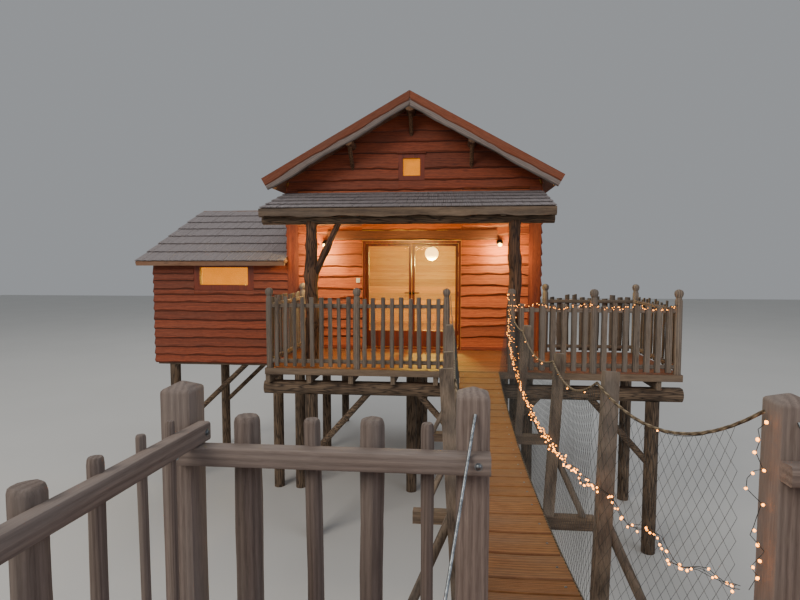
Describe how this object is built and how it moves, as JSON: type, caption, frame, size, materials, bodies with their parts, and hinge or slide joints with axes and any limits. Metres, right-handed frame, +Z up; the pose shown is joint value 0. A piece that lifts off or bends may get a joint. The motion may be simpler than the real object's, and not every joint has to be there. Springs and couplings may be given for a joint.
{
  "type": "tree house on log stilts with porch, annex and rope bridge",
  "caption": "Timber tree house on log stilts, with a covered porch, side deck, lean-to annex and a rope bridge to a fenced landing.",
  "frame": {"origin": "on the ground at the foot of the cabin's middle front stilt", "axes": "+X to the right along the front, +Y from the landing towards the back of the cabin, +Z up"},
  "size_m": [9.56, 16.2382, 7.4813],
  "materials": {
    "logs": "satin",
    "joists": "rough",
    "floor_boards": "satin",
    "stained_boards": "satin stain",
    "gable_boards": "satin stain",
    "shakes": "weathered",
    "barge_wood": "rough",
    "corner_wood": "satin stain",
    "door_paint": "satin paint",
    "glass": "clear",
    "lamp_metal": "satin",
    "lamp_globe": "opal",
    "weathered_wood": "weathered",
    "railing_wood": "weathered",
    "deck_wood": "weathered",
    "bridge_wood": "rough",
    "cable_steel": "galvanised",
    "rope": "twisted",
    "landing_wood": "weathered"
  },
  "bodies": {
    "house": {"stilts": "logs", "stilt_braces": "logs", "log_beams": "logs", "floor_joists": "joists", "cabin_floor": "floor_boards", "front_wall_left": "stained_boards", "front_wall_right": "stained_boards", "wall_over_door": "stained_boards", "front_gable": "gable_boards", "left_wall": "stained_boards", "right_wall": "stained_boards", "back_wall": "stained_boards", "roof_left": "shakes", "roof_right": "shakes", "roof_logs": "logs", "gable_braces": "logs", "barge_boards": "barge_wood", "corner_boards": "corner_wood", "door_frame": "door_paint", "window_frames": "door_paint", "window_glass": "glass", "wall_lights": "lamp_metal", "pendant_lamp": "lamp_globe", "porch_roof": "shakes", "porch_rafters": "weathered_wood", "porch_fascia": "weathered_wood", "porch_posts": "logs", "deck_boards": "deck_wood", "deck_edge": "weathered_wood", "porch_railing": "railing_wood", "side_railing": "railing_wood", "annex_front": "stained_boards", "annex_left_wall": "stained_boards", "annex_back": "stained_boards", "annex_floor": "floor_boards", "annex_beams": "joists", "annex_roof": "shakes", "bridge_planks": "bridge_wood", "bridge_cables": "cable_steel", "bridge_beams": "weathered_wood", "bridge_uprights": "weathered_wood", "hand_ropes": "rope", "landing_boards": "deck_wood", "landing_posts": "landing_wood", "landing_fences": "landing_wood"},
    "left_leaf": {"door_left": "door_paint", "door_left_glass": "glass"},
    "right_leaf": {"door_right": "door_paint", "door_right_glass": "glass"}
  },
  "joints": [
    {"name": "door_left_hinge", "type": "hinge", "parent": "house", "child": "left_leaf", "pos_m": [-0.885, 0.085, 2.8], "axis": [0, 0, 1], "range_deg": [0, 100]},
    {"name": "door_right_hinge", "type": "hinge", "parent": "house", "child": "right_leaf", "pos_m": [0.885, 0.085, 2.8], "axis": [0, 0, 1], "range_deg": [-100, 0]}
  ]
}
